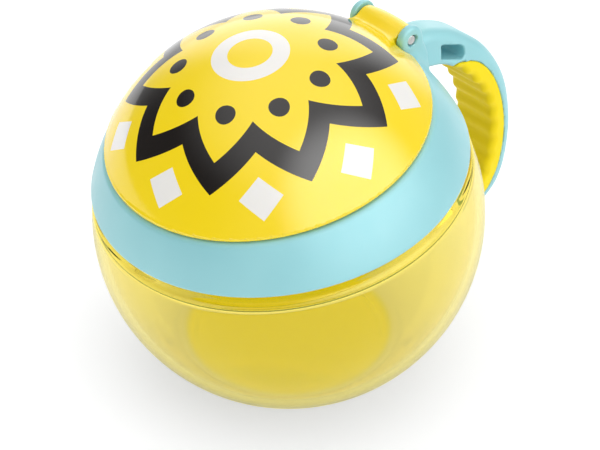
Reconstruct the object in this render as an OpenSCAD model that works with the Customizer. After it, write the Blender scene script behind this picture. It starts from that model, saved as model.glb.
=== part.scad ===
// Ball-shaped snack container for toddlers: a clear bowl cut off at a slant,
// a screw collar with a hook handle, a domed flip lid on a metal hinge pin and
// a soft insert of flaps that close the mouth.
// Origin: centre of the foot, on the surface it stands on. +Z up, handle at +Y.

/* [Bowl] */
// Diameter of the ball
ball_d = 94; // [90:0.5:98]
// Height of the ball's centre above the foot
ball_z = 38; // [37:0.5:39]
// Wall of the bowl
wall = 2.2; // [1.8:0.1:2.6]
// Slant of the neck and its screw thread, towards the front
tilt = 10.4; // [10:0.2:11]

/* [Neck and collar] */
// Height of the ledge under the collar, along the slanted axis
ledge_h = 14.5; // [14:0.1:14.9]
// Outer radius of the neck
neck_r = 38; // [37.8:0.1:38.1]
// Height of the collar's lower edge
collar_lo = 16; // [15.7:0.1:16.3]
// Height of the collar's upper edge, along the lid's axis
collar_hi = 28.3; // [28.1:0.1:28.5]
// How far the collar stands proud of the ball
collar_over = 0.7; // [0.6:0.1:1]
// Rounding of the collar's lower edge
collar_round = 1.2; // [0.8:0.1:1.4]
// Rise of the thread for one full turn
lead = 12; // [10:0.5:14]

/* [Lid] */
// Slant of the lid and of the collar's top, towards the front
lid_tilt = 13; // [12.6:0.1:13.2]
// Outer radius of the dome
dome_r = 46; // [45.8:0.1:46.2]
// Height of the dome's centre, along the lid's axis
dome_up = 3.5; // [3.3:0.1:3.7]
// Wall of the dome
dome_wall = 2; // [1.8:0.1:2.2]
// Hinge axis, distance behind the lid's axis
hinge_v = 38.1; // [38:0.1:38.3]
// Hinge axis, height along the lid's axis
hinge_w = 32.5; // [32.4:0.1:32.8]
// Radius of the hinge pin
pin_r = 1.25; // [1:0.05:1.5]
// Radius of the lid's hinge barrel in the middle
barrel_r = 3.25; // [3.1:0.05:3.3]
// Radius of the two ears that hold the pin
ear_r = 3.5; // [3.4:0.05:3.7]

/* [Handle] */
// Half the width of the arm where it leaves the collar
arm_hw = 4.7; // [4.4:0.1:5]
// Half the width of the grip
grip_hw = 7.3; // [6.8:0.1:7.6]
// Rounding of the handle's outer edges
edge_round = 2.4; // [1.8:0.1:2.6]
// Distance between the ribs of the grip
rib_pitch = 4.8; // [4:0.1:6]
// Depth of the grooves between the ribs
rib_depth = 0.9; // [0.4:0.1:1.2]

/* [Flaps] */
// Number of flaps in the mouth
flap_n = 6; // [6]
// Distance from the centre to the root of a flap
flap_root = 27.4; // [26.5:0.1:28]
// Thickness of a flap
flap_t = 1.2; // [1:0.1:1.4]
// Width of the slit between two flaps
slit = 0.8; // [0.6:0.1:1]

/* [Hidden] */
$fn = 96;
R = ball_d / 2;
neck_top = ledge_h + 8.1;
bore_r = neck_r + 1.8;     // bore of the collar round the thread
neck_in = neck_r - 2;      // mouth of the bowl
ring_lo = neck_top + 0.15; // underside of the flap ring's flange
ring_hi = ring_lo + 1.4;
mouth_r = 34.6;            // hole in the collar's top
skirt_r = 34.2;            // outside of the lid's locating skirt
lid_lo = collar_hi + 0.25; // underside of the lid's rim
skirt_lo = lid_lo - 1.95;  // lower edge of the skirt
hinge_gap = 0.35;
ear_in = 7.3;              // inner and outer faces of the ears
ear_out = 9.3;
lug_deg = 60;              // length of a lug on the neck
lug_h = 1.4;
lug0 = ledge_h + 4.9;      // height of a neck lug's lower end
flap_z = ring_lo + 0.75;   // middle plane of the flaps

aqua = [0.60, 0.85, 0.87];
yellow = [0.97, 0.87, 0.31];
clear_yellow = [0.90, 0.80, 0.25, 0.45];
steel = [0.7, 0.72, 0.72];
soft_white = [0.93, 0.95, 0.93];

// the slanted frames: z is the axis of the neck and its thread, or of the lid
module slant() translate([0, 0, ball_z]) rotate([tilt, 0, 0]) children();
module lean() translate([0, 0, ball_z]) rotate([lid_tilt, 0, 0]) children();

// a helical lug round the slanted axis: profile r1..r2 by h, from angle a0
// over span degrees, following the thread's rise
module lug(r1, r2, h, z0, a0, span, n = 10) {
  rise = lead / 360;
  pts = [for (i = [0:n]) let (a = a0 + span * i / n, z = z0 + rise * span * i / n,
         e = (i == 0 || i == n) ? 0.6 : 1)
         for (q = [[r1, -h / 2], [r1 + (r2 - r1) * e, -h / 2 + 0.15],
                   [r1 + (r2 - r1) * e, h / 2 - 0.15], [r1, h / 2]])
         [q[0] * cos(a), q[0] * sin(a), z + q[1]]];
  sides = [for (i = [0:n - 1]) for (j = [0:3]) let (k = (j + 1) % 4)
           [4 * i + j, 4 * i + k, 4 * i + 4 + k, 4 * i + 4 + j]];
  tris = [for (s = sides) each [[s[0], s[2], s[1]], [s[0], s[3], s[2]]]];
  ends = [[0, 1, 2], [0, 2, 3], [4 * n, 4 * n + 2, 4 * n + 1], [4 * n, 4 * n + 3, 4 * n + 2]];
  flip = r2 < r1;
  f = concat(tris, ends);
  polyhedron(pts, flip ? f : [for (t = f) [t[0], t[2], t[1]]]);
}

module half(r) intersection() { circle(r, $fn = 180); translate([0, -100]) square([100, 200]); }

// ---------------------------------------------------------------- bowl
module bowl_outline() {
  // ball up to the ledge, with a rounded lip, then the neck
  lip = 1.4;
  lc = sqrt(pow(R - lip, 2) - pow(ledge_h - lip, 2)) - 0.02;
  difference() {
    half(R);
    translate([-1, ledge_h]) square([80, 80]);
    translate([lc, ledge_h - lip + 0.42]) square([10, 10]);
  }
  translate([lc, ledge_h - lip]) circle(lip, $fn = 48);
  translate([0, ledge_h - 4]) square([neck_r, neck_top - ledge_h + 4]);
}
module bowl_hollow() {
  difference() {
    half(R - wall);
    translate([-1, ledge_h - wall]) square([80, 80]);
  }
  translate([0, 0]) square([neck_in, neck_top + 5]);
}
module bowl() color(clear_yellow) {
  difference() {
    slant() rotate_extrude() bowl_outline();
    translate([-80, -80, -80]) cube([160, 160, 80]);
    difference() {
      slant() rotate_extrude() bowl_hollow();
      translate([-80, -80, -80]) cube([160, 160, 80 + wall + 0.3]);
    }
  }
  slant() for (k = [0:2])
    lug(neck_r - 0.4, neck_r + 1.4, lug_h, lug0, 120 * k + 10, lug_deg, 12);
}

// -------------------------------------------------------------- collar
module collar_outline() {
  ro = R + collar_over;
  f = collar_round;
  fc = sqrt(pow(ro - f, 2) - pow(collar_lo + f, 2));
  difference() {
    union() {
      difference() {
        half(ro);
        translate([-1, -80]) square([80, 80 + (collar_lo + f) * ro / (ro - f)]);
      }
      translate([0, collar_lo]) square([fc, f + 0.6]);
      translate([fc, collar_lo + f]) circle(f, $fn = 48);
    }
    translate([-1, collar_lo - 1]) square([bore_r + 1, neck_top - collar_lo + 1.1]);
    translate([-1, neck_top]) square([neck_r + 1.55, ring_hi - neck_top + 0.2]);
  }
}
// the handle's stations, in the plane x = 0, measured from the ball's centre:
// outer point, inner point, line between shell and grip, half width
ST = [[[35.0, 36.4], [38.0, 27.6], [38.0, 27.6]],
      [[41.0, 36.5], [41.0, 27.4], [41.0, 27.4]],
      [[45.6, 35.4], [45.2, 26.4], [45.2, 26.4]],
      [[50.6, 33.3], [49.0, 24.2], [49.6, 25.4]],
      [[55.4, 30.1], [52.7, 21.0], [54.4, 24.4]],
      [[59.8, 26.4], [56.1, 17.2], [58.2, 22.0]],
      [[63.6, 21.3], [59.2, 13.2], [61.6, 17.8]],
      [[66.7, 15.3], [61.2, 9.0], [64.2, 12.6]],
      [[68.8, 8.4], [62.4, 4.6], [66.2, 6.6]],
      [[70.0, 1.4], [62.8, 0.0], [67.2, 0.6]],
      [[70.1, -5.6], [62.6, -4.8], [67.2, -5.4]],
      [[69.3, -12.0], [61.8, -9.4], [66.2, -11.2]],
      [[67.4, -17.2], [60.2, -13.6], [64.4, -15.8]],
      [[64.4, -20.8], [58.0, -17.0], [61.6, -19.4]]];
// smooth curve through a column of the table
function cr(a, b, c, d, t) = 0.5 * (2 * b + (c - a) * t + (2 * a - 5 * b + 4 * c - d) * t * t
                                    + (3 * b - a - 3 * c + d) * t * t * t);
function col(j) = [for (s = ST) s[j]];
function at(P, i) = P[max(0, min(len(P) - 1, i))];
function curve(P, n = 4) = [for (i = [0:len(P) - 2]) for (k = [0:n - 1])
                            cr(at(P, i - 1), at(P, i), at(P, i + 1), at(P, i + 2), k / n),
                            P[len(P) - 1]];
function rev(L) = [for (i = [len(L) - 1:-1:0]) L[i]];
function seg(L, i0, i1) = [for (i = [i0:i1]) L[i]];
tip = [[62.6, -22.3], [60.6, -22.9], [58.8, -22.3], [57.6, -20.9]];
outer_c = curve(col(0));
inner_c = curve(col(1));
split_c = curve(col(2));
n_c = len(outer_c) - 1;
g0 = 12;                // the grip starts here and ends at g1, on the curves
g1 = n_c;
function arc_len(L, i) = i <= 0 ? 0 : arc_len(L, i - 1) + norm(L[i] - L[i - 1]);
function nrm(L, i) = let (t = L[min(i + 1, len(L) - 1)] - L[max(i - 1, 0)]) [t[1], -t[0]] / norm(t);
// half width of the handle as seen from behind, by height over the ball's centre
W = [[-26, 5.2], [-22, 6.3], [-17, 6.9], [-10, 7.2], [0, 7.3], [12, 7.3], [19, 7.0],
     [24, 6.3], [28, 5.5], [32, 4.9], [36, 4.7], [45, 4.7]];
function hw(p) = lookup(p[1], W) < grip_hw ? min(lookup(p[1], W) * (p[1] < 26 ? grip_hw / 7.3 : arm_hw / 4.7), grip_hw) : grip_hw;

// extrudes an outline given in (y, z) to both sides of x = 0
module yz(h) rotate([90, 0, 90]) linear_extrude(2 * h, center = true) children();
// the envelope of widths, seen along y
module waist(clear = 0) translate([0, 100, 0]) rotate([90, 0, 0]) linear_extrude(100)
  polygon(concat([for (w = W) [-hw([0, w[0]]) - clear, w[0]]],
                 [for (i = [len(W) - 1:-1:0]) [hw([0, W[i][0]]) + clear, W[i][0]]]));
// the shell of the handle: rounded sections from station to station
shell_o = concat(outer_c, tip);
shell_s = concat(seg(inner_c, 0, g0 - 1), seg(split_c, g0, g1),
                 [for (t = [0.25:0.25:1]) split_c[g1] * (1 - t) + inner_c[g1] * t]);
function shell_sec(i) =
  let (o = shell_o[i], s = shell_s[i], l = norm(s - o), d = (s - o) / l,
       ho = hw(o), hs = hw(s), r = min(edge_round + (i < 2 * g0 ? 0.5 * (1 - i / (2 * g0)) : 0), 0.75 * l, ho - 1),
       c = i < g0 ? 1 : 0.3,
       half_sec = concat([[hs - c, l], [hs, l - c]],
                         [for (a = [0:22.5:90]) [ho - r + r * cos(a), r - r * sin(a)]]),
       all_sec = concat(half_sec, [for (k = [len(half_sec) - 1:-1:0]) [-half_sec[k][0], half_sec[k][1]]]))
  [for (q = all_sec) [q[0], o[0] + d[0] * q[1], o[1] + d[1] * q[1]]];
module handle_shell() {
  n = len(shell_o);
  m = 14;
  pts = [for (i = [0:n - 1]) each shell_sec(i)];
  f = concat([for (i = [0:n - 2]) for (j = [0:m - 1]) let (k = (j + 1) % m)
              each [[m * i + j, m * i + k, m * (i + 1) + k], [m * i + j, m * (i + 1) + k, m * (i + 1) + j]]],
             [[for (j = [m - 1:-1:0]) j], [for (j = [0:m - 1]) m * (n - 1) + j]]);
  difference() {
    polyhedron(pts, f);
    // slot through the arm
    yz(12) polygon([[44.0, 32.0], [51.3, 29.6], [52.0, 28.6], [51.9, 26.7], [51.2, 26.0], [43.9, 28.4]]);
  }
}
module ears() {
  for (s = [-1, 1]) lean() {
    translate([s > 0 ? ear_in : -ear_out, hinge_v, hinge_w]) rotate([0, 90, 0])
      cylinder(r = ear_r, h = ear_out - ear_in);
    // foot of the ear, down to the collar
    translate([s > 0 ? ear_in : -ear_out, 0, 0]) rotate([90, 0, 90])
      linear_extrude(ear_out - ear_in)
      polygon([[hinge_v - 2.6, 25.4], [hinge_v - 2.6, hinge_w - 2],
               [hinge_v, hinge_w], [hinge_v + 2.9, hinge_w - 1.9],
               [hinge_v + 4, 28], [hinge_v + 4.4, 25], [hinge_v + 3.4, 22.6]]);
  }
}
module collar() color(aqua) {
  difference() {
    union() {
      difference() {
        slant() rotate_extrude() collar_outline();
        lean() {
          // top face and mouth
          translate([-80, -80, collar_hi]) cube([160, 160, 80]);
          translate([0, 0, 10]) cylinder(r = mouth_r, h = 60, $fn = 180);
        }
      }
      ears();
      difference() {
        translate([0, 0, ball_z]) handle_shell();
        // nothing of the arm inside the collar or in the barrel's way
        lean() translate([0, 0, -40]) cylinder(r = neck_r + 2.4, h = 90);
      }
      // root of the arm: joins it to the collar's wall
      difference() {
        lean() translate([-arm_hw, neck_r - 1.2, 18.6]) cube([2 * arm_hw, 7.6, 9.7]);
        slant() cylinder(r = bore_r + 0.8, h = 60);
      }
    }
    // bore for the pin, and room for the lid's barrel
    lean() translate([-20, hinge_v, hinge_w]) rotate([0, 90, 0]) cylinder(r = pin_r, h = 40);
    lean() translate([-ear_in, hinge_v, hinge_w]) rotate([0, 90, 0])
      cylinder(r = barrel_r + hinge_gap, h = 2 * ear_in);
  }
  slant() for (k = [0:2])
    lug(bore_r + 0.3, neck_r + 0.4, lug_h, lug0 - lug_h - 0.3 + lead * 5 / 360,
        120 * k + 15, 25, 6);
}

// -------------------------------------------------------- handle grip
// ribs run across its inner face, drawn at stations between the curve's points
module grip_outline() {
  steps = 3;
  ribbed = [for (i = [g0:g1 - 1]) for (k = [0:steps - 1])
            let (t = k / steps, p = inner_c[i] * (1 - t) + inner_c[i + 1] * t,
                 s = arc_len(inner_c, i) - arc_len(inner_c, g0) + t * norm(inner_c[i + 1] - inner_c[i]),
                 d = (i == g0 || i >= g1 - 1) ? 0 : rib_depth * (0.5 - 0.5 * cos(360 * s / rib_pitch)))
            p + (nrm(inner_c, i) * (1 - t) + nrm(inner_c, i + 1) * t) * -d,
            inner_c[g1]];
  polygon(concat(seg(split_c, g0, g1), rev(ribbed)));
}
module handle_grip() color(yellow) translate([0, 0, ball_z]) intersection() {
  yz(12) grip_outline();
  waist();
}

// ----------------------------------------------------------------- lid
module lid_outline() {
  // dome
  translate([0, dome_up]) difference() {
    half(dome_r);
    half(dome_r - dome_wall);
    translate([-1, -80]) square([80, 80 + lid_lo + 1.1 - dome_up]);
  }
  // rim and bottom flange
  er = sqrt(pow(dome_r, 2) - pow(lid_lo + 1.1 - dome_up, 2));
  translate([skirt_r - 1.4, lid_lo]) square([er - 0.6 - skirt_r + 1.4, 1.5]);
  translate([er - 0.5, lid_lo + 0.62]) circle(0.62, $fn = 32);
  // locating skirt
  translate([skirt_r - 1.4, skirt_lo]) square([1.4, lid_lo + 1.5 - skirt_lo]);
}
module lid() color(yellow) lean() difference() {
  union() {
    rotate_extrude() lid_outline();
    // barrel, a little fuller in the middle, and the neck that carries it
    translate([0, hinge_v, hinge_w]) rotate([0, 90, 0]) rotate_extrude() intersection() {
      translate([0, -ear_in + 0.3]) square([10, 2 * ear_in - 0.6]);
      translate([barrel_r - 50, 0]) circle(50, $fn = 720);
    }
    rotate([90, 0, 90]) linear_extrude(2 * ear_in - 0.6, center = true)
      polygon([[hinge_v - 3.9, lid_lo + 0.3], [hinge_v - 5.4, lid_lo + 4.8],
               [hinge_v - 5.2, hinge_w + 2], [hinge_v - 1.8, hinge_w + 2.2],
               [hinge_v, hinge_w + 2.4], [hinge_v + 1, hinge_w], [hinge_v - 0.5, hinge_w - 2.6]]);
  }
  // running bore on the pin
  translate([-20, hinge_v, hinge_w]) rotate([0, 90, 0]) cylinder(r = pin_r + 0.05, h = 40);
  // room for the ears
  for (s = [-1, 1]) translate([s > 0 ? ear_in - 0.3 : -ear_out - 0.3, 0, 0]) {
    translate([0, hinge_v, hinge_w]) rotate([0, 90, 0])
      cylinder(r = ear_r + hinge_gap, h = ear_out - ear_in + 0.6);
    translate([0, hinge_v - 3, lid_lo - 1]) cube([ear_out - ear_in + 0.6, 10, hinge_w - lid_lo + 1]);
  }
}

// ----------------------------------------------------------- hinge pin
module hinge_pin() color(steel) lean()
  translate([-ear_out + 0.4, hinge_v, hinge_w]) rotate([0, 90, 0])
  cylinder(r = pin_r, h = 2 * ear_out - 0.8, $fn = 64);

// ----------------------------------------------------------- flap ring
module ngon(a) circle(a / cos(30), $fn = 6);   // hexagon by its apothem
module flap_ring() color(soft_white) slant() {
  difference() {
    union() {
      translate([0, 0, ring_lo]) cylinder(r = neck_r + 0.2, h = ring_hi - ring_lo);
      translate([0, 0, ring_lo - 2.6]) cylinder(r = neck_in - 0.3, h = 3);
    }
    translate([0, 0, ring_lo - 5]) cylinder(r = neck_in - 1.5, h = 5);
    translate([0, 0, ring_lo - 5]) linear_extrude(20) ngon(flap_root + 0.35 + flap_t / 2);
  }
}

// --------------------------------------------------------------- flaps
module flap(k) color(soft_white) slant() rotate(60 * (k - 1)) {
  // a wedge from its root, a round edge at y = flap_root, to the centre
  hr = flap_t / 2;
  w = (flap_root) * tan(30) - slit;
  translate([0, flap_root, flap_z]) rotate([0, 90, 0]) translate([0, 0, -w + 0.6])
    cylinder(r = hr, h = 2 * (w - 0.6), $fn = 32);
  translate([0, 0, flap_z - hr]) linear_extrude(flap_t)
    polygon([[-w + 0.6, flap_root], [w - 0.6, flap_root],
             [w - 0.6 - 1.2 * tan(30), flap_root - 1.2],
             [0.9, 2.2], [-0.9, 2.2],
             [-w + 0.6 + 1.2 * tan(30), flap_root - 1.2]]);
}

bowl();
collar();
handle_grip();
lid();
hinge_pin();
flap_ring();
flap(1);  // flap_1
flap(2);  // flap_2
flap(3);  // flap_3
flap(4);  // flap_4
flap(5);  // flap_5
flap(6);  // flap_6
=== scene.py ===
import math

import bpy
import numpy as np
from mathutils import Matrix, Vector


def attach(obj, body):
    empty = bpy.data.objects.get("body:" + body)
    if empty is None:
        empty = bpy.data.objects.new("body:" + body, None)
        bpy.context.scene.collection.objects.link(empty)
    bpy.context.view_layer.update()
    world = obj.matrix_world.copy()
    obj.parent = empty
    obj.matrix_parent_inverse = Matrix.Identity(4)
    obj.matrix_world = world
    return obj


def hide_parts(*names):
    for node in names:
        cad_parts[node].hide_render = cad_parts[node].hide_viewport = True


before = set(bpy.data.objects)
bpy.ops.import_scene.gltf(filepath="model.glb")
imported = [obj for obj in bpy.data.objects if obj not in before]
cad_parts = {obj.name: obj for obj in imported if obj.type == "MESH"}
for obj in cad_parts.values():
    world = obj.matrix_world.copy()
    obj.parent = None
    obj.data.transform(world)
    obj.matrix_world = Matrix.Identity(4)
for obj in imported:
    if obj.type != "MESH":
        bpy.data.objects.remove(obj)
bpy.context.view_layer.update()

# ------------------------------------------------------------------ frames
# Shapes are worked out in millimetres from the ball's centre, axes as the
# row frame. Two slanted frames share that centre: the neck's and the lid's.
ZC = 38.0
R = 47.0
TN, TL = math.radians(10.4), math.radians(13.0)


def slanted(p, t):
    c, s = math.cos(t), math.sin(t)
    return p[:, 0], p[:, 1] * c + p[:, 2] * s, p[:, 2] * c - p[:, 1] * s


def unslanted(x, v, w, t):
    c, s = math.cos(t), math.sin(t)
    return np.stack([x, v * c - w * s, v * s + w * c], 1)


# ------------------------------------------------- rounded solid operations
def meet(a, b, r):
    """Intersection of two solids, its edge rounded by r."""
    return np.minimum(-r, np.maximum(a, b)) + np.hypot(np.maximum(a + r, 0), np.maximum(b + r, 0))


def join(a, b, r):
    """Union of two solids, its corner filled by r."""
    return np.maximum(r, np.minimum(a, b)) - np.hypot(np.maximum(r - a, 0), np.maximum(r - b, 0))


def cut(a, b, r):
    return meet(a, -b, r)


def smooth(x, a, b):
    t = np.clip((x - a) / (b - a), 0, 1)
    return t * t * (3 - 2 * t)


def spline(P, n):
    """Catmull-Rom curve through P, n points to a span."""
    P = np.array(P, float)
    Q = np.vstack([P[:1] * 2 - P[1:2], P, P[-1:] * 2 - P[-2:-1]])
    out = []
    for i in range(len(P) - 1):
        a, b, c, d = Q[i : i + 4]
        for t in np.arange(n) / n:
            out.append(0.5 * (2 * b + (c - a) * t + (2 * a - 5 * b + 4 * c - d) * t * t + (3 * b - a - 3 * c + d) * t**3))
    out.append(P[-1])
    return np.array(out)


class Outline:
    """Signed distance to a closed outline in a plane, kept on a fine grid."""

    def __init__(self, pts, lo, hi, step=0.2):
        pts = np.array(pts, float)
        self.lo, self.step = np.array(lo, float), step
        n = np.ceil((np.array(hi) - self.lo) / step).astype(int) + 1
        u = self.lo[0] + step * np.arange(n[0])
        v = self.lo[1] + step * np.arange(n[1])
        U, V = np.meshgrid(u, v, indexing="ij")
        best = np.full(U.shape, 1e9)
        inside = np.zeros(U.shape, bool)
        for a, b in zip(pts, np.roll(pts, -1, 0), strict=True):
            e = b - a
            L = e @ e
            if L < 1e-12:
                continue
            t = np.clip(((U - a[0]) * e[0] + (V - a[1]) * e[1]) / L, 0, 1)
            best = np.minimum(best, (U - a[0] - t * e[0]) ** 2 + (V - a[1] - t * e[1]) ** 2)
            with np.errstate(divide="ignore", invalid="ignore"):
                hit = ((a[1] > V) != (b[1] > V)) & (U < e[0] * (V - a[1]) / (e[1] if e[1] else 1e-12) + a[0])
            inside ^= hit
        self.d = np.sqrt(best) * np.where(inside, -1, 1)
        self.n = n

    def __call__(self, u, v):
        # smooth cubic interpolation, clamped at the grid's border
        fu = np.clip((u - self.lo[0]) / self.step, 1.001, self.n[0] - 2.001)
        fv = np.clip((v - self.lo[1]) / self.step, 1.001, self.n[1] - 2.001)
        iu, iv = fu.astype(int), fv.astype(int)
        tu, tv = fu - iu, fv - iv

        def w(t):
            return (
                -0.5 * t + t * t - 0.5 * t**3,
                1 - 2.5 * t * t + 1.5 * t**3,
                0.5 * t + 2 * t * t - 1.5 * t**3,
                -0.5 * t * t + 0.5 * t**3,
            )

        wu, wv = w(tu), w(tv)
        out = 0
        for a in range(4):
            row = 0
            for b in range(4):
                row = row + wv[b] * self.d[iu + a - 1, iv + b - 1]
            out = out + wu[a] * row
        # past the grid the distance goes on growing
        du = (u - self.lo[0]) / self.step - fu
        dv = (v - self.lo[1]) / self.step - fv
        return out + self.step * np.hypot(du, dv) * np.where((np.abs(du) > 0) | (np.abs(dv) > 0), 1, 0)


# ------------------------------------------------------- solid to fine mesh
def gradient(f, p, e=0.02):
    g = np.empty_like(p)
    for k in range(3):
        d = np.zeros(3)
        d[k] = e
        g[:, k] = (f(p + d) - f(p - d)) / (2 * e)
    return g


def skin(f, lo, hi, h, rounds=3):
    """Closed quad mesh of the solid f < 0: vertices lie on its surface, evenly spread."""
    lo, hi = np.array(lo, float) - 2 * h + 0.0137, np.array(hi, float) + 2 * h
    B = 8
    nb = np.ceil((hi - lo) / (h * B)).astype(int)
    n = nb * B + 1
    F = np.empty(n, np.float32)
    centres = np.stack(np.meshgrid(*[(np.arange(k) + 0.5) * B * h for k in nb], indexing="ij"), -1).reshape(-1, 3) + lo
    near = f(centres)
    reach = B * h * 0.87 * 1.35 + 2 * h
    F[...] = 0
    blocks = near.reshape(nb)
    up = np.repeat(np.repeat(np.repeat(blocks, B, 0), B, 1), B, 2)
    F[:-1, :-1, :-1] = up
    F[-1], F[:, -1], F[:, :, -1] = 1, 1, 1
    todo = np.argwhere(np.abs(blocks) < reach)
    off = np.stack(np.meshgrid(*[np.arange(B + 1)] * 3, indexing="ij"), -1).reshape(-1, 3)
    for k in range(0, len(todo), 400):
        idx = (todo[k : k + 400, None, :] * B + off[None]).reshape(-1, 3)
        F[idx[:, 0], idx[:, 1], idx[:, 2]] = f(idx * h + lo)
    S = F < 0
    # cells that the surface passes, with the mean of where it crosses their edges
    total = np.zeros(tuple(n - 1) + (3,), np.float32)
    count = np.zeros(tuple(n - 1), np.float32)
    faces = []
    crossings = []
    for ax in range(3):
        a = [slice(None)] * 3
        b = [slice(None)] * 3
        a[ax], b[ax] = slice(0, -1), slice(1, None)
        change = S[tuple(a)] != S[tuple(b)]
        at = np.argwhere(change)
        fa = F[tuple(a)][change]
        fb = F[tuple(b)][change]
        t = fa / (fa - fb)
        pos = at.astype(np.float32)
        pos[:, ax] += t
        o1, o2 = [k for k in range(3) if k != ax]
        for s1 in (0, 1):
            for s2 in (0, 1):
                c = at.copy()
                c[:, o1] -= s1
                c[:, o2] -= s2
                ok = (c >= 0).all(1) & (c < np.array(n) - 1).all(1)
                np.add.at(total, tuple(c[ok].T), pos[ok])
                np.add.at(count, tuple(c[ok].T), 1)
        crossings.append((ax, at, fa < 0))
    used = count > 0
    number = np.full(used.shape, -1, np.int64)
    number[used] = np.arange(used.sum())
    verts = (total[used] / count[used][:, None]).astype(float) * h + lo
    for ax, at, inside_first in crossings:
        o1, o2 = [(1, 2), (2, 0), (0, 1)][ax]
        quad = []
        for s1, s2 in ((0, 0), (1, 0), (1, 1), (0, 1)):
            c = at.copy()
            c[:, o1] -= s1
            c[:, o2] -= s2
            quad.append(number[tuple(c.T)])
        q = np.stack(quad, 1)
        q[~inside_first] = q[~inside_first][:, ::-1]
        faces.append(q)
    faces = np.vstack(faces)
    # spread the vertices evenly, and put them on the surface
    e = np.vstack([faces[:, [0, 1]], faces[:, [1, 2]], faces[:, [2, 3]], faces[:, [3, 0]]])
    i = np.concatenate([e[:, 0], e[:, 1]])
    j = np.concatenate([e[:, 1], e[:, 0]])
    deg = np.bincount(i, minlength=len(verts)).astype(float)

    def project(v, times=1):
        for _ in range(times):
            g = gradient(f, v)
            gg = (g * g).sum(1)
            step = (f(v) / np.maximum(gg, 0.05))[:, None] * g
            length = np.linalg.norm(step, axis=1, keepdims=True)
            v = v - step * np.minimum(1, 0.5 * h / np.maximum(length, 1e-9))
        return v

    verts = project(verts, 2)
    for _ in range(rounds):
        mean = np.stack([np.bincount(i, verts[j, k], len(verts)) for k in range(3)], 1) / deg[:, None]
        verts = project(verts + 0.55 * (mean - verts), 1)
    verts = project(verts, 2)
    return verts, faces


def piece(name, verts, faces, material, body, node=None, normals=None):
    """Verts in millimetres from the ball's centre."""
    me = bpy.data.meshes.new(name)
    co = np.asarray(verts, float) / 1000.0
    co[:, 2] += ZC / 1000.0
    faces = np.asarray(faces) if not isinstance(faces, list) else faces
    me.from_pydata(co.tolist(), [], faces if isinstance(faces, list) else faces.tolist())
    me.validate(clean_customdata=False)
    me.update()
    me.polygons.foreach_set("use_smooth", [True] * len(me.polygons))
    if normals is not None and len(me.vertices) == len(normals):
        me.normals_split_custom_set_from_vertices(normals.tolist())
    ob = bpy.data.objects.new(name, me)
    bpy.context.scene.collection.objects.link(ob)
    ob.data.materials.append(material)
    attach(ob, body)
    if node:
        for k in node if isinstance(node, (list, tuple)) else [node]:
            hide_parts(k)
    return ob


def solid(name, f, lo, hi, h, material, body, node=None, rounds=3):
    v, q = skin(f, lo, hi, h, rounds)
    # both ways of telling in from out have to agree
    a, b, c = v[q[:, 0]], v[q[:, 1]], v[q[:, 2]]
    n = np.cross(b - a, c - a)
    mid = (a + c) / 2
    g = gradient(f, mid[:: max(1, len(mid) // 4000)])
    if (n[:: max(1, len(mid) // 4000)] * g).sum() < 0:
        q = q[:, ::-1]
    g = gradient(f, v, 0.04)
    g /= np.maximum(np.linalg.norm(g, axis=1, keepdims=True), 1e-9)
    return piece(name, v, q, material, body, node, g)


# --------------------------------------------------------------- materials
def lin(c):
    """sRGB 0..255 to linear RGBA."""
    out = []
    for x in c:
        x = x / 255
        out.append(x / 12.92 if x <= 0.04045 else ((x + 0.055) / 1.055) ** 2.4)
    return (*out, 1.0)


class Nodes:
    def __init__(self, name):
        self.m = bpy.data.materials.new(name)
        self.m.use_nodes = True
        self.t = self.m.node_tree
        self.t.nodes.clear()
        self.out = self.add("ShaderNodeOutputMaterial")
        self.obj = self.add("ShaderNodeTexCoord").outputs["Object"]

    def add(self, kind, **props):
        n = self.t.nodes.new(kind)
        for k, v in props.items():
            setattr(n, k, v)
        return n

    def link(self, a, b):
        self.t.links.new(a, b)

    def put(self, sock, v):
        if isinstance(v, bpy.types.NodeSocket):
            self.t.links.new(v, sock)
        else:
            sock.default_value = v

    def math(self, op, a, b=None, c=None, clamp=False):
        n = self.add("ShaderNodeMath", operation=op, use_clamp=clamp)
        for s, v in zip(n.inputs, (a, b, c), strict=False):
            if v is not None:
                self.put(s, v)
        return n.outputs[0]

    def noise(self, scale, detail=2.0, rough=0.5, vec=None, distortion=0.0):
        n = self.add("ShaderNodeTexNoise")
        self.link(vec or self.obj, n.inputs["Vector"])
        n.inputs["Scale"].default_value = scale
        n.inputs["Detail"].default_value = detail
        n.inputs["Roughness"].default_value = rough
        n.inputs["Distortion"].default_value = distortion
        return n.outputs[0]

    def ramp(self, v, a, b, lo=0.0, hi=1.0):
        n = self.add("ShaderNodeMapRange", interpolation_type="SMOOTHSTEP")
        self.put(n.inputs["Value"], v)
        n.inputs["From Min"].default_value = a
        n.inputs["From Max"].default_value = b
        n.inputs["To Min"].default_value = lo
        n.inputs["To Max"].default_value = hi
        return n.outputs[0]

    def mix(self, fac, a, b):
        n = self.add("ShaderNodeMix", data_type="RGBA")
        self.put(n.inputs[0], fac)
        self.put(n.inputs[6], a)
        self.put(n.inputs[7], b)
        return n.outputs[2]

    def bump(self, height, strength, distance, normal=None):
        n = self.add("ShaderNodeBump")
        self.put(n.inputs["Height"], height)
        n.inputs["Strength"].default_value = strength
        n.inputs["Distance"].default_value = distance
        if normal is not None:
            self.link(normal, n.inputs["Normal"])
        return n.outputs[0]

    def principled(self, **v):
        n = self.add("ShaderNodeBsdfPrincipled")
        for k, x in v.items():
            self.put(n.inputs[k.replace("_", " ")], x)
        return n.outputs[0]

    def done(self, shader):
        self.link(shader, self.out.inputs["Surface"])
        return self.m


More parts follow.
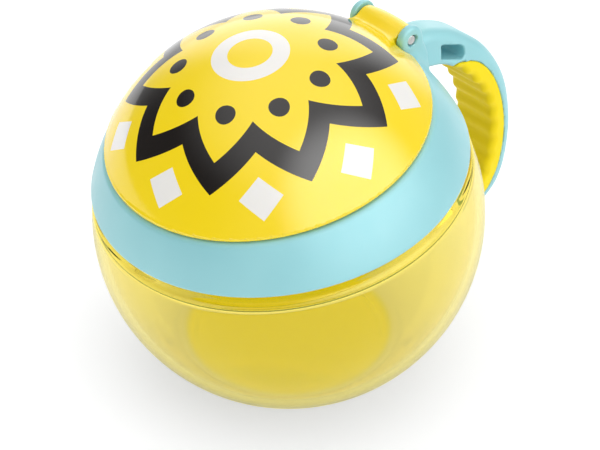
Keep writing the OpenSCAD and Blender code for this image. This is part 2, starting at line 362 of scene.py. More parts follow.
def make_collar():
    n = Nodes("aqua_satin")
    big = n.noise(38, 2)
    col = n.mix(n.ramp(big, 0.3, 0.7), lin((141, 202, 209)), lin((148, 208, 214)))
    fine = n.noise(5200, 3, 0.6)
    rough = n.ramp(n.noise(300, 3), 0.3, 0.7, 0.33, 0.41)
    nor = n.bump(fine, 0.18, 0.00003)
    return n.done(n.principled(Base_Color=col, Roughness=rough, IOR=1.56, Normal=nor, Coat_Weight=0.2, Coat_Roughness=0.35, Subsurface_Weight=0.06,
                               Subsurface_Radius=(0.4, 1.0, 1.0), Subsurface_Scale=0.002))


def make_lid():
    n = Nodes("gloss_yellow_print")
    # place on the dome: angle round its axis from the front, and way down from the pole
    sub = n.add("ShaderNodeVectorMath", operation="SUBTRACT")
    n.link(n.obj, sub.inputs[0])
    c = (0.0, -3.5 * math.sin(TL) / 1000, (ZC + 3.5 * math.cos(TL)) / 1000)
    sub.inputs[1].default_value = c
    rot = n.add("ShaderNodeVectorRotate", rotation_type="X_AXIS")
    n.link(sub.outputs[0], rot.inputs["Vector"])
    rot.inputs["Angle"].default_value = -TL
    sep = n.add("ShaderNodeSeparateXYZ")
    n.link(rot.outputs[0], sep.inputs[0])
    length = n.add("ShaderNodeVectorMath", operation="LENGTH")
    n.link(rot.outputs[0], length.inputs[0])
    rad = length.outputs["Value"]
    x, v, w = sep.outputs
    theta = n.math("ARCTAN2", x, n.math("MULTIPLY", v, -1.0))
    s = n.math("MULTIPLY", n.math("ARCCOSINE", n.math("DIVIDE", w, rad)), 46.0)
    outer = n.math("MULTIPLY", n.math("GREATER_THAN", rad, 0.0452), n.math("LESS_THAN", rad, 0.0461))
    across = n.math("MULTIPLY", n.math("SINE", n.math("DIVIDE", s, 46.0)), 46.0)  # distance from the axis

    k = 9  # motifs round the dome
    turn = n.math("MULTIPLY", theta, k / (2 * math.pi))
    part = n.math("SUBTRACT", n.math("FRACT", n.math("ADD", turn, 100.25)), 0.5)  # -0.5..0.5 in each motif
    tri = n.math("MULTIPLY", n.math("ABSOLUTE", part), 4.0)  # 0..2
    zig = n.math("MULTIPLY_ADD", n.math("SUBTRACT", tri, 1.0), 4.6, 27.4)
    # zigzag line
    line = n.math("LESS_THAN", n.math("ABSOLUTE", n.math("SUBTRACT", s, zig)), 3.5)
    # rhombs in the notches on the rim's side
    dx = n.math("MULTIPLY", n.math("ABSOLUTE", part), n.math("MULTIPLY", across, 2 * math.pi / k))
    dy = n.math("ABSOLUTE", n.math("SUBTRACT", s, 36.4))
    rhomb = n.math("LESS_THAN", n.math("ADD", n.math("MULTIPLY", dx, 0.98), dy), 4.7)
    rhomb = n.math("MULTIPLY", rhomb, n.math("LESS_THAN", v, 0.0285))  # none beside the hinge
    # dots in the notches on the pole's side
    part2 = n.math("SUBTRACT", n.math("FRACT", n.math("ADD", turn, 100.75)), 0.5)
    ex = n.math("MULTIPLY", part2, n.math("MULTIPLY", across, 2 * math.pi / k))
    ey = n.math("SUBTRACT", s, 17.6)
    dot = n.math("LESS_THAN", n.math("ADD", n.math("MULTIPLY", ex, ex), n.math("MULTIPLY", ey, ey)), 2.3 * 2.3)
    # ring at the pole
    ring = n.math("LESS_THAN", n.math("ABSOLUTE", n.math("SUBTRACT", s, 7.0)), 1.9)
    dark = n.math("MULTIPLY", n.math("MAXIMUM", line, dot), outer)
    pale = n.math("MULTIPLY", n.math("MAXIMUM", rhomb, ring), outer)

    tone = n.noise(26, 2)
    yel = n.mix(n.ramp(tone, 0.3, 0.7), lin((248, 217, 24)), lin((250, 220, 32)))
    col = n.mix(pale, yel, lin((238, 236, 232)))
    col = n.mix(dark, col, lin((30, 26, 24)))
    rough = n.ramp(n.noise(420, 4, 0.6), 0.35, 0.75, 0.10, 0.16)
    wave = n.noise(160, 1.0, 0.4)
    nor = n.bump(wave, 0.10, 0.00005)
    return n.done(n.principled(Base_Color=col, Roughness=rough, IOR=1.5, Normal=nor, Coat_Weight=0.12, Coat_Roughness=0.06,
                               Subsurface_Weight=0.05, Subsurface_Radius=(1.0, 0.7, 0.2), Subsurface_Scale=0.002))


def make_grip():
    n = Nodes("soft_grip")
    tone = n.noise(60, 2)
    col = n.mix(n.ramp(tone, 0.3, 0.7), lin((248, 220, 6)), lin((250, 223, 14)))
    grain = n.noise(4200, 3, 0.65)
    rough = n.ramp(n.noise(700, 2), 0.3, 0.7, 0.50, 0.62)
    nor = n.bump(grain, 0.25, 0.00004)
    return n.done(n.principled(Base_Color=col, Roughness=rough, IOR=1.45, Normal=nor, Specular_IOR_Level=0.25, Sheen_Weight=0.02, Sheen_Roughness=0.5,
                               Subsurface_Weight=0.08, Subsurface_Radius=(1.0, 0.75, 0.2), Subsurface_Scale=0.002))


def make_flap():
    n = Nodes("soft_insert")
    tone = n.noise(70, 2)
    col = n.mix(n.ramp(tone, 0.3, 0.7), lin((226, 230, 226)), lin((236, 238, 234)))
    grain = n.noise(3800, 2, 0.6)
    rough = n.ramp(n.noise(500, 2), 0.3, 0.7, 0.42, 0.55)
    nor = n.bump(grain, 0.2, 0.00003)
    return n.done(n.principled(Base_Color=col, Roughness=rough, IOR=1.41, Normal=nor, Subsurface_Weight=0.3,
                               Subsurface_Radius=(1.0, 1.0, 0.9), Subsurface_Scale=0.003, Sheen_Weight=0.05))


def make_steel():
    n = Nodes("pin_steel_turned")
    sep = n.add("ShaderNodeSeparateXYZ")
    n.link(n.obj, sep.inputs[0])
    wave = n.math("SINE", n.math("MULTIPLY", sep.outputs[0], 26000.0))
    col = n.mix(n.ramp(n.noise(900, 2), 0.3, 0.7), (0.42, 0.42, 0.41, 1), (0.50, 0.50, 0.49, 1))
    rough = n.ramp(n.noise(2600, 3), 0.3, 0.7, 0.18, 0.34)
    nor = n.bump(wave, 0.05, 0.00001)
    return n.done(n.principled(Base_Color=col, Metallic=1.0, Roughness=rough, Normal=nor))


def make_bowl():
    n = Nodes("clear_yellow_plastic")
    # painted shade: the tint is deeper where the wall is flat on the floor, standing in for the shadowed floor seen
    # through the foot
    sep = n.add("ShaderNodeSeparateXYZ")
    n.link(n.obj, sep.inputs[0])
    x, y, z = sep.outputs
    far = n.math("SQRT", n.math("ADD", n.math("MULTIPLY", x, x), n.math("MULTIPLY", y, y)))
    foot = n.math("MULTIPLY", n.ramp(far, 0.0250, 0.0275, 1.0, 0.0), n.math("LESS_THAN", z, 0.0045))
    # painted shade: the wall's tint deepens towards the bottom, over the shadowed floor, and is paler higher up
    wall = n.mix(n.ramp(z, 0.008, 0.030), (0.968, 0.922, 0.57, 1.0), (0.968, 0.925, 0.66, 1.0))
    tint = n.mix(foot, wall, (0.998, 0.92, 0.11, 1.0))
    # and at the ledge and the neck, deeper where the wall is seen from its edge, with painted shade in the gap under
    # the collar
    w = n.math("SUBTRACT", n.math("MULTIPLY", n.math("SUBTRACT", z, ZC / 1000), math.cos(TN)), n.math("MULTIPLY", y, math.sin(TN)))
    tint = n.mix(n.ramp(w, 0.0118, 0.0135), tint, (0.965, 0.90, 0.44, 1.0))
    rough = n.ramp(n.noise(350, 3, 0.6), 0.35, 0.8, 0.015, 0.05)
    wave = n.noise(75, 1.5, 0.45)
    nor = n.bump(wave, 0.12, 0.0002)
    glass = n.add("ShaderNodeBsdfGlass")
    n.link(tint, glass.inputs["Color"])
    n.link(rough, glass.inputs["Roughness"])
    glass.inputs["IOR"].default_value = 1.49
    n.link(nor, glass.inputs["Normal"])
    clear = n.add("ShaderNodeBsdfTransparent")
    n.link(n.mix(foot, (0.83, 0.825, 0.81, 1.0), (0.99, 0.98, 0.95, 1.0)), clear.inputs["Color"])
    path = n.add("ShaderNodeLightPath")
    fac = n.math("MAXIMUM", path.outputs["Is Shadow Ray"], path.outputs["Is Diffuse Ray"])
    mix = n.add("ShaderNodeMixShader")
    n.link(fac, mix.inputs[0])
    n.link(glass.outputs[0], mix.inputs[1])
    n.link(clear.outputs[0], mix.inputs[2])
    return n.done(mix.outputs[0])


M_COLLAR, M_LID, M_GRIP, M_FLAP, M_STEEL, M_BOWL = (
    make_collar(), make_lid(), make_grip(), make_flap(), make_steel(), make_bowl())

# -------------------------------------------------------------------- bowl
LEDGE, NECK_R, NECK_IN, NECK_TOP, WALL = 14.5, 38.0, 36.0, 22.6, 2.2
LUG_H, LEAD, LUG0 = 1.4, 12.0, 14.5 + 4.9


def soft_min(a, b, k):
    """Smaller of the two, rounded where they meet."""
    h = np.clip(0.5 + 0.5 * (b - a) / k, 0, 1)
    return b * (1 - h) + a * h - k * h * (1 - h)


def arc(cx, cy, r, a0, a1, n):
    a = np.radians(np.linspace(a0, a1, n))
    return np.stack([cx + r * np.cos(a), cy + r * np.sin(a)], 1)


def bowl():
    seg = 264
    phi = np.linspace(0, 2 * np.pi, seg, endpoint=False)

    def ball(psi, radius, floor, k):
        # psi from the slanted axis's lower end; one ring of points for each
        P, F = np.meshgrid(psi, phi, indexing="ij")
        d = np.stack([np.sin(P) * np.cos(F), np.sin(P) * np.sin(F), -np.cos(P)], -1)
        dz = d[..., 1] * math.sin(TN) + d[..., 2] * math.cos(TN)
        flat = np.where(dz < -0.2, floor / np.maximum(-dz, 0.2), 1e3)
        rr = soft_min(np.full_like(dz, radius), flat, k)
        return d * rr[..., None]

    deg = np.radians
    out_psi = deg(np.concatenate([np.linspace(1.2, 22, 18, endpoint=False), np.linspace(22, 50, 44, endpoint=False),
                                  np.linspace(50, 106.6, 40)]))
    in_psi = deg(np.concatenate([np.linspace(1.2, 22, 16, endpoint=False), np.linspace(22, 50, 40, endpoint=False),
                                 np.linspace(50, 105.0, 36)]))
    outer = ball(out_psi, R, ZC, 1.6)
    inner = ball(in_psi, R - WALL, ZC - 2.5, 2.6)[::-1]
    # the foot's underside is hollowed a little inside its ring
    y = outer[..., 1] * math.cos(TN) - outer[..., 2] * math.sin(TN)
    z = outer[..., 1] * math.sin(TN) + outer[..., 2] * math.cos(TN)
    x = outer[..., 0]
    rr = np.hypot(x, y)
    lift = 0.45 * (1 - smooth(rr, 22.5, 25.0))
    z = z + lift
    outer = np.stack([x, y * math.cos(TN) + z * math.sin(TN), z * math.cos(TN) - y * math.sin(TN)], -1)

    lip = 1.4
    lc = math.sqrt((R - lip) ** 2 - (LEDGE - lip) ** 2) - 0.02
    prof = [
        arc(lc, LEDGE - lip, lip, 19, 90, 10),
        np.linspace([lc - 0.8, LEDGE], [NECK_R + 1.0, LEDGE], 5),
        arc(NECK_R + 0.55, LEDGE + 0.55, 0.55, 270, 180, 5),
        np.linspace([NECK_R, LEDGE + 0.8], [NECK_R, NECK_TOP - 0.7], 26),
        arc(NECK_R - 0.6, NECK_TOP - 0.6, 0.6, 0, 90, 6),
        arc(NECK_IN + 0.6, NECK_TOP - 0.6, 0.6, 90, 180, 6),
        np.linspace([NECK_IN, NECK_TOP - 1.6], [NECK_IN, LEDGE - WALL + 0.9], 7),
        arc(NECK_IN + 0.8, LEDGE - WALL + 0.8, 0.8, 180, 270, 5),
        np.linspace([NECK_IN + 1.6, LEDGE - WALL], [41.0, LEDGE - WALL], 4),
        arc(41.35, LEDGE - WALL - 1.6, 1.6, 82, 16, 8),
    ]
    prof = np.vstack(prof)
    r, w = prof[:, 0][:, None] + 0 * phi, prof[:, 1][:, None] + 0 * phi
    # screw lugs on the neck, three of them, rising with the thread
    a = np.degrees(phi)[None, :]
    for k in range(3):
        t = (a - (120 * k + 10)) % 360
        t = np.where(t > 300, t - 360, t)
        centre = LUG0 + LEAD / 360 * t
        ends = smooth(t, -1.0, 2.5) * (1 - smooth(t, 57.5, 61.0))
        ridge = smooth(LUG_H / 2 + 0.25 - np.abs(w - centre), 0, 0.55)
        outside = (np.arange(len(prof)) >= 15)[:, None] & (np.arange(len(prof)) < 48)[:, None] & (prof[:, 0][:, None] > NECK_R - 0.3)
        r = r + 1.4 * ridge * ends * outside
    # a low stop for the collar on the ledge
    t = (a - STOP_AT + 180) % 360 - 180
    stop = smooth(1.6 - np.abs(t), 0, 0.9) * (prof[:, 1][:, None] >= LEDGE - 0.01) * (prof[:, 0][:, None] > NECK_R - 0.1)
    r = r + 1.1 * stop * smooth(w, LEDGE + 0.1, LEDGE + 0.7) * (1 - smooth(w, LEDGE + 1.5, LEDGE + 2.2))
    middle = np.stack([r * np.cos(phi), r * np.sin(phi), w], -1)
    rows = np.concatenate([outer, middle, inner])
    m = len(rows)
    pts = rows.reshape(-1, 3)
    low_o = outer[0].mean(0)
    low_i = inner[-1].mean(0)
    pts = np.vstack([pts, low_o, low_i])
    i = np.arange(m - 1)[:, None] * seg
    j = np.arange(seg)[None, :]
    k = (j + 1) % seg
    quads = np.stack([i + j, i + k, i + seg + k, i + seg + j], -1).reshape(-1, 4)
    faces = quads.tolist()
    a, b = m * seg, m * seg + 1
    for q in range(seg):
        faces.append([a, (q + 1) % seg, q])
        faces.append([b, (m - 1) * seg + q, (m - 1) * seg + (q + 1) % seg])
    world = unslanted(pts[:, 0], pts[:, 1], pts[:, 2], TN)
    return piece("bowl_clear", world, faces, M_BOWL, "bowl", "bowl")


STOP_AT = -20.0
bowl()

# ------------------------------------------------------------------ handle
ST = [[[35.0, 36.4], [38.0, 27.6], [38.0, 27.6]],
      [[41.0, 36.5], [41.0, 27.4], [41.0, 27.4]],
      [[45.6, 35.4], [45.2, 26.4], [45.2, 26.4]],
      [[50.6, 33.3], [49.0, 24.2], [49.6, 25.4]],
      [[55.4, 30.1], [52.7, 21.0], [54.4, 24.4]],
      [[59.8, 26.4], [56.1, 17.2], [58.2, 22.0]],
      [[63.6, 21.3], [59.2, 13.2], [61.6, 17.8]],
      [[66.7, 15.3], [61.2, 9.0], [64.2, 12.6]],
      [[68.8, 8.4], [62.4, 4.6], [66.2, 6.6]],
      [[70.0, 1.4], [62.8, 0.0], [67.2, 0.6]],
      [[70.1, -5.6], [62.6, -4.8], [67.2, -5.4]],
      [[69.3, -12.0], [61.8, -9.4], [66.2, -11.2]],
      [[67.4, -17.2], [60.2, -13.6], [64.4, -15.8]],
      [[64.4, -20.8], [58.0, -17.0], [61.6, -19.4]]]
TIP = [[62.6, -22.3], [60.6, -22.9], [58.8, -22.3], [57.6, -20.9]]
WIDTHS = [[-26, 5.2], [-22, 6.3], [-17, 6.9], [-10, 7.2], [0, 7.3], [12, 7.3], [19, 7.0],
          [24, 6.3], [28, 5.5], [32, 4.9], [36, 4.7], [45, 4.7]]
outer_c = spline([s[0] for s in ST] + TIP, 8)
inner_c = spline([s[1] for s in ST], 8)
split_c = spline([s[2] for s in ST], 8)
G0 = 3 * 8
_w = np.array(WIDTHS)
_wz = np.linspace(-26, 45, 285)
_ww = np.interp(_wz, _w[:, 0], _w[:, 1])
for _ in range(60):
    _ww[1:-1] = 0.25 * _ww[:-2] + 0.5 * _ww[1:-1] + 0.25 * _ww[2:]
LO2, HI2 = (24, -30), (76, 44)

shell_outer = Outline(np.vstack([[[18, 36.4]], outer_c, [[57.3, -19.4], [57.5, -17.2], [50, -10], [46, 2], [18, 2]]]), LO2, HI2)
shell_inner = Outline(np.vstack([[[18, 27.6]], inner_c[:G0 - 2], split_c[G0:], [[58.0, -17.0], [40, -5], [40, -60], [120, -60],
                                 [120, 80], [18, 80]]]), LO2, HI2)
slot_hole = Outline([[44.2, 31.9], [50.6, 29.9], [51.4, 29.3], [51.8, 28.4], [51.8, 27.2], [51.4, 26.4], [50.8, 26.1],
                     [44.0, 28.3]], (38, 20), (58, 38), 0.1)


def half_width(z):
    return np.interp(z, _wz, _ww)


HV, HW = 38.1, 32.5
ear_foot = Outline([[HV - 2.6, 25.4], [HV - 2.9, HW - 1.2], [HV - 1, HW + 1], [HV + 2.6, HW - 0.6],
                    [HV + 3.8, 29.4], [HV + 4.4, 26], [HV + 3.8, 22.6]], (30, 16), (50, 42), 0.15)


def collar_solid(p):
    x, y, z = p[:, 0], p[:, 1], p[:, 2]
    ax = np.abs(x)
    _, vn, wn = slanted(p, TN)
    _, vl, wl = slanted(p, TL)
    rn, rl = np.hypot(x, vn), np.hypot(x, vl)
    ball = np.sqrt((p * p).sum(1)) - 47.7
    ring = meet(ball, 16 - wn, 1.2)
    # arm and strap
    side = ax - half_width(z)
    edge = 2.4 + 0.5 * smooth(z, 24, 36)
    arm = meet(shell_outer(y, z), side, edge)
    arm = meet(arm, shell_inner(y, z), 0.15 + 0.85 * smooth(y, 50, 46))
    arm = cut(arm, slot_hole(y, z), 0.35)
    arm = np.maximum(arm, 40.4 - rl)
    # root of the arm, down the collar's wall
    root = meet(meet(ax - 4.7, np.maximum(36.8 - vl, vl - 44.4), 0.8), np.maximum(18.6 - wl, wl - 28.6), 0.8)
    # ears
    rho = np.hypot(vl - HV, wl - HW)
    ear = join(rho - 3.5, ear_foot(vl, wl), 1.2)
    ear = meet(ear, ax - 9.3, 0.95)
    ear = meet(ear, 7.3 - ax, 0.3)
    # top, mouth and bore
    ring = meet(ring, wl - 28.3, 0.75)
    ring = cut(ring, rl - 34.6, 0.5)
    body = join(ring, root, 1.2)
    body = join(body, arm, 1.0)
    # the lid's rim sits inside
    body = cut(body, np.maximum(rl - 38.15, 28.3 - wl), 0.1)
    body = join(body, ear, 2.2)
    hollow = np.minimum(np.maximum(rn - 39.8, wn - 22.7), np.maximum(rn - 38.55, wn - 24.35))
    body = cut(body, hollow, 0.15)
    # room for the lid's barrel, and the pin's bore
    room = np.maximum(rho - 3.6, ax - 7.3)
    body = cut(body, room, 0.2)
    body = cut(body, rho - 1.42, 0.12)
    # screw lugs inside
    ang = np.degrees(np.arctan2(vn, x))
    for k in range(3):
        t = (ang - (120 * k + 15) + 180) % 360 - 180
        z0 = LUG0 - LUG_H - 0.3 + LEAD * 5 / 360
        lug = meet(np.abs(wn - z0 - LEAD / 360 * t) - LUG_H / 2 + 0.0, np.abs(rn - 39.35) - 0.95, 0.3)
        lug = meet(lug, (np.abs(t - 12.5) - 12.5) * 0.69, 0.3)
        body = join(body, lug, 0.2)
    return body


fine = 0.5
solid("collar_moulding", collar_solid, (-48.5, -48.5, -24), (48.5, 71, 45), fine, M_COLLAR, "collar", "collar")

# ------------------------------------------------------------------- grip
ribs = []
tang = np.gradient(inner_c, axis=0)
nrm = np.stack([tang[:, 1], -tang[:, 0]], 1)
nrm /= np.linalg.norm(nrm, axis=1, keepdims=True)
length = np.concatenate([[0], np.cumsum(np.linalg.norm(np.diff(inner_c, axis=0), axis=1))])
length -= length[G0]
total = length[-1]
dense = np.linspace(0, total, 420)
iy, iz = np.interp(dense, length, inner_c[:, 0]), np.interp(dense, length, inner_c[:, 1])
ny, nz = np.interp(dense, length, nrm[:, 0]), np.interp(dense, length, nrm[:, 1])
ease = smooth(dense, 0, 2.4) * (1 - smooth(dense, total - 2.0, total))
wave = 0.5 - 0.5 * np.cos(2 * np.pi * dense / 4.8)
depth = 0.65 * wave * ease
ribbed = np.stack([iy - ny * depth, iz - nz * depth], 1)
grip_closed = Outline(np.vstack([split_c[G0:], ribbed[::-1]]), LO2, HI2, 0.15)
grip_inner = Outline(np.vstack([[[30, 36]], [inner_c[G0] + [-4, 2]], ribbed, [[57.5, -30], [120, -60], [120, 80], [30, 80]]]), LO2, HI2, 0.15)


def grip_solid(p):
    x, y, z = p[:, 0], p[:, 1], p[:, 2]
    side = np.abs(x) - half_width(z) + 0.02
    body = meet(grip_inner(y, z), side, 1.9)
    return meet(body, grip_closed(y, z) + 0.03, 0.12)


solid("grip_overmould", grip_solid, (-8.2, 46, -22), (8.2, 70, 28), 0.4, M_GRIP, "collar",
      "handle_grip")

# --------------------------------------------------------------------- lid
LID_LO, SKIRT_LO = 28.55, 26.6
ER = math.sqrt(46.0**2 - (LID_LO + 1.1 - 3.5) ** 2)
lid_neck = Outline([[HV - 3.9, LID_LO + 0.3], [HV - 5.4, LID_LO + 4.8], [HV - 5.2, HW + 1.9], [HV - 1.8, HW + 2.1],
                    [HV, HW + 2.4], [HV + 1, HW], [HV - 0.5, HW - 2.6]], (28, 24), (46, 40), 0.1)


def lid_solid(p):
    x, v, w = slanted(p, TL)
    ax = np.abs(x)
    r = np.hypot(x, v)
    q = np.sqrt(r * r + (w - 3.5) ** 2)
    dome = np.maximum(q - 46, LID_LO + 1.1 - w)
    bead = np.hypot(r - (ER - 0.5), w - LID_LO - 0.62) - 0.62
    flange = meet(np.maximum(r - (ER - 0.6), 32.8 - r), np.maximum(LID_LO - w, w - LID_LO - 1.5), 0.05)
    body = join(join(dome, flange, 0.05), bead, 0.4)
    skirt = meet(np.abs(r - 33.5) - 0.7, np.maximum(SKIRT_LO - w, w - LID_LO - 1.5), 0.35)
    rho = np.hypot(v - HV, w - HW)
    crown = 3.25 - 50 + np.sqrt(np.maximum(2500 - x * x, 1))
    barrel = meet(rho - crown, ax - 7.0, 0.35)
    neck = meet(lid_neck(v, w), ax - 7.0, 0.45)
    body = join(body, neck, 1.1)
    body = join(body, barrel, 0.9)
    # hollow inside
    inside = np.maximum(q - 44, LID_LO + 1.3 - w)
    inside = meet(inside, r - 37.2, 1.2)
    body = cut(body, inside, 0.3)
    body = cut(body, np.maximum(r - 32.8, w - LID_LO - 3), 0.2)
    body = join(body, skirt, 0.25)
    # room for the ears, and the pin's bore
    for lo_x in (6.98,):
        ears = np.maximum(rho - 3.85, np.maximum(lo_x - ax, ax - 9.7))
        below = np.maximum(np.maximum(lo_x - ax, ax - 9.7), np.maximum(HV - 3.05 - v, np.abs(w - 30) - 2.55))
        body = cut(body, np.minimum(ears, below), 0.2)
    body = cut(body, rho - 1.3, 0.1)
    return body


solid("lid_dome", lid_solid, (-39.5, -50, 12), (39.5, 44, 50.5), 0.47, M_LID, "lid", "lid", rounds=4)


# --------------------------------------------------------------- hinge pin
def pin():
    seg = 48
    a = np.linspace(0, 2 * np.pi, seg, endpoint=False)
    end = 8.9
    half = [[0.0, end - 0.10], [0.45, end - 0.12], [0.8, end - 0.06], [1.0, end], [1.13, end - 0.04], [1.2, end - 0.12], [1.25, end - 0.28]]
    side = [[1.25, t] for t in np.linspace(end - 0.28, -end + 0.28, 24)[1:-1]]
    prof = np.array(half[1:] + side + [[r, -t] for r, t in half[1:][::-1]])
    rings = np.stack([prof[:, 1][:, None] + 0 * a, HV + prof[:, 0][:, None] * np.cos(a), HW + prof[:, 0][:, None] * np.sin(a)], -1)
    m = len(prof)
    pts = rings.reshape(-1, 3)
    pts = np.vstack([pts, [end - 0.10, HV, HW], [-end + 0.10, HV, HW]])
    faces = []
    for i in range(m - 1):
        for j in range(seg):
            k = (j + 1) % seg
            faces.append([i * seg + j, (i + 1) * seg + j, (i + 1) * seg + k, i * seg + k])
    for j in range(seg):
        k = (j + 1) % seg
        faces.append([m * seg, j, k])
        faces.append([m * seg + 1, (m - 1) * seg + k, (m - 1) * seg + j])
    piece("pin_turned", unslanted(pts[:, 0], pts[:, 1], pts[:, 2], TL), faces, M_STEEL, "collar", "hinge_pin")


pin()

# ---------------------------------------------------------- insert and flaps
RING_LO = NECK_TOP + 0.15
RING_HI = RING_LO + 1.4
ROOT, FT, SLIT = 27.4, 1.2, 0.8
FZ = RING_LO + 0.75


def hexagon(x, v, a):
    """Distance to a hexagon with its flats at distance a along +-v."""
    s60 = math.sqrt(3) / 2
    d = np.abs(v)
    d = np.maximum(d, np.abs(x * s60 + v * 0.5))
    return np.maximum(d, np.abs(x * s60 - v * 0.5)) - a


def insert_solid(p):
    x, v, w = slanted(p, TN)
    r = np.hypot(x, v)
    flange = meet(r - (NECK_R + 0.2), np.abs(w - (RING_LO + RING_HI) / 2) - 0.7, 0.3)
    plug = meet(meet(r - (NECK_IN - 0.3), np.maximum(RING_LO - 2.6 - w, w - RING_LO - 0.4), 0.3), NECK_IN - 1.5 - r, 0.3)
    body = join(flange, plug, 0.3)
    # a raised bead between the mouth and the edge
    bead = np.hypot(r - 33.2, w - RING_HI + 0.25) - 0.25
    body = join(body, bead, 0.2)
    body = cut(body, hexagon(x, v, ROOT + 0.35 + FT / 2), 0.35)
    return body


solid("insert_ring", insert_solid, (-38.6, -46, 14), (38.6, 38, 34), 0.45, M_FLAP, "insert", "flap_ring")


def flap(k):
    a = math.radians(60 * (k - 1))
    ca, sa = math.cos(a), math.sin(a)

    def f(p):
        x, v, w = slanted(p, TN)
        u = x * ca + v * sa  # across the flap
        t = -x * sa + v * ca  # out from the centre
        s60, c60 = math.sqrt(3) / 2, 0.5
        # wedge between the two slits, cut off at the middle and rounded at the root
        edge = np.abs(u) * s60 - t * c60 + SLIT * 0.87
        plan = meet(meet(edge, 2.2 - t, 0.8), t - ROOT - 0.0, 0.05)
        thick = 0.6 - 0.14 * smooth(ROOT - t, 2.0, 6.0) + 0.16 * smooth(3.0 - (t - 2.0), 0, 2.0)
        # thin line beside the root, where it bends
        groove = 0.16 * np.exp(-((ROOT - 2.1 - t) / 0.55) ** 2)
        slab = np.abs(w - FZ) - (thick - groove)
        body = meet(plan, slab, 0.32)
        rod = np.maximum(np.hypot(t - ROOT, w - FZ) - 0.6, np.abs(u) - (ROOT * math.tan(math.radians(30)) - SLIT - 0.65))
        return join(body, rod, 0.1)

    c, s = math.cos(TN), math.sin(TN)
    # box of this flap
    corners = np.array([[ux, tt] for ux in (-15.5, 15.5) for tt in (1.5, 28.4)])
    X = corners[:, 0] * ca - corners[:, 1] * sa
    V = corners[:, 0] * sa + corners[:, 1] * ca
    pts = np.vstack([unslanted(X, V, np.full(4, FZ + dz), TN) for dz in (-1.2, 1.2)])
    solid(f"flap_{k}_soft", f, pts.min(0) - 0.6, pts.max(0) + 0.6, 0.4, M_FLAP, f"flap_{k}", f"flap_{k}",
          rounds=2)


for k in range(1, 7):
    flap(k)

# ------------------------------------------------------------ floor and light
floor_mat = Nodes("pale_floor")
fc = floor_mat.mix(floor_mat.ramp(floor_mat.noise(3.0, 2), 0.3, 0.7), (0.90, 0.90, 0.90, 1), (0.92, 0.92, 0.92, 1))
floor_mat.done(floor_mat.principled(Base_Color=fc, Roughness=0.85, Specular_IOR_Level=0.2, Emission_Color=(1, 1, 1, 1), Emission_Strength=0.29))
me = bpy.data.meshes.new("floor")
S = 3.0
me.from_pydata([(-S, -S, 0), (S, -S, 0), (S, S, 0), (-S, S, 0)], [], [(0, 1, 2, 3)])
floor = bpy.data.objects.new("floor", me)
floor.location.z = -0.0002
me.materials.append(floor_mat.m)
bpy.context.scene.collection.objects.link(floor)


# the studio round the object: its even level, and brighter or darker sides
EVEN, BASE, RIGHT, TOP, BACK, FRONT = 0.77, 0.5, 4.2, 1.1, 1.6, -0.42


def softbox(name, at, size, power, target=(0, 0, 0.03), colour=(1, 1, 1), size_y=None):
    li = bpy.data.lights.new(name, "AREA")
    li.shape = "RECTANGLE"
    li.size = size
    li.size_y = size_y or size
    li.energy = power
    li.color = colour
    ob = bpy.data.objects.new(name, li)
    ob.location = at
    ob.rotation_mode = "QUATERNION"
    ob.rotation_quaternion = (Vector(target) - Vector(at)).to_track_quat("-Z", "Y")
    ob.visible_camera = False
    bpy.context.scene.collection.objects.link(ob)
    return ob


softbox("overhead", (-0.15, 0.15, 1.2), 1.2, 3.6).visible_glossy = False
softbox("side", (0.9, 0.3, 0.6), 0.8, 2.0).visible_glossy = False

world = bpy.data.worlds.new("studio")
world.use_nodes = True
wt = world.node_tree
wt.nodes.clear()


def wnode(kind, **props):
    n = wt.nodes.new(kind)
    for key, value in props.items():
        setattr(n, key, value)
    return n


def lobe(direction, inner, outer_deg, amount):
    """Soft bright patch of the studio round a direction."""
    dot = wnode("ShaderNodeVectorMath", operation="DOT_PRODUCT")
    wt.links.new(w_dir.outputs["Generated"], dot.inputs[0])
    d = Vector(direction).normalized()
    dot.inputs[1].default_value = d
    m = wnode("ShaderNodeMapRange", interpolation_type="SMOOTHSTEP")
    wt.links.new(dot.outputs["Value"], m.inputs["Value"])
    m.inputs["From Min"].default_value = math.cos(math.radians(outer_deg))
    m.inputs["From Max"].default_value = math.cos(math.radians(inner))
    m.inputs["To Min"].default_value = 0
    m.inputs["To Max"].default_value = amount
    return m.outputs[0]


def add(a, b):
    m = wnode("ShaderNodeMath", operation="ADD")
    for sock, value in zip(m.inputs, (a, b), strict=False):
        if isinstance(value, bpy.types.NodeSocket):
            wt.links.new(value, sock)
        else:
            sock.default_value = value
    return m.outputs[0]


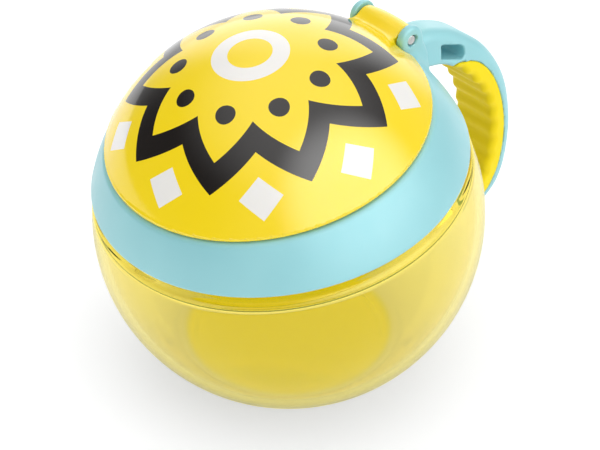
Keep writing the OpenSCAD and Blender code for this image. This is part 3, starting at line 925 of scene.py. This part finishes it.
w_dir = wnode("ShaderNodeTexCoord")
level = add(BASE, lobe((0.86, 0.10, 0.50), 20, 50, RIGHT))
level = add(level, lobe((0.0, 0.0, 1.0), 12, 60, TOP))
level = add(level, lobe((-0.68, 0.68, 0.26), 12, 42, BACK))
level = add(level, lobe((-0.56, -0.80, 0.18), 30, 70, FRONT))
bg = wnode("ShaderNodeBackground")
bg.inputs["Color"].default_value = (1, 1, 1, 1)
wt.links.new(level, bg.inputs["Strength"])
cam_bg = wnode("ShaderNodeBackground")
cam_bg.inputs["Color"].default_value = (1, 1, 1, 1)
cam_bg.inputs["Strength"].default_value = 1.05
lp = wnode("ShaderNodeLightPath")
even = wnode("ShaderNodeBackground")
even.inputs["Color"].default_value = (1, 1, 1, 1)
even.inputs["Strength"].default_value = EVEN
# mirrored light sees the bright and dark sides, everything else an even studio
seen = wnode("ShaderNodeMath", operation="SUBTRACT", use_clamp=True)
wt.links.new(lp.outputs["Is Glossy Ray"], seen.inputs[0])
wt.links.new(lp.outputs["Is Transmission Ray"], seen.inputs[1])
sides = wnode("ShaderNodeMixShader")
wt.links.new(seen.outputs[0], sides.inputs[0])
wt.links.new(even.outputs[0], sides.inputs[1])
wt.links.new(bg.outputs[0], sides.inputs[2])
mx = wnode("ShaderNodeMixShader")
wt.links.new(lp.outputs["Is Camera Ray"], mx.inputs[0])
wt.links.new(sides.outputs[0], mx.inputs[1])
wt.links.new(cam_bg.outputs[0], mx.inputs[2])
wo = wnode("ShaderNodeOutputWorld")
wt.links.new(mx.outputs[0], wo.inputs["Surface"])
bpy.context.scene.world = world
bpy.context.scene.view_settings.view_transform = "Standard"

# ------------------------------------------------------------------ camera
cam_data = bpy.data.cameras.new("camera")
cam = bpy.data.objects.new("camera", cam_data)
az, el, dist = math.radians(50), math.radians(35.5), 0.376
aim = Vector((0, 0, ZC / 1000))
back = Vector((math.sin(az) * math.cos(el), -math.cos(az) * math.cos(el), math.sin(el)))
cam.location = aim + back * dist
cam.rotation_mode = "QUATERNION"
cam.rotation_quaternion = (-back).to_track_quat("-Z", "Y")
cam_data.sensor_width = 36
cam_data.lens = 1562 / 600 * 36
cam_data.shift_x = 11.4 / 600
cam_data.shift_y = -12.7 / 600
cam_data.clip_start, cam_data.clip_end = 0.01, 50
bpy.context.scene.collection.objects.link(cam)
bpy.context.scene.camera = cam

bpy.context.view_layer.update()
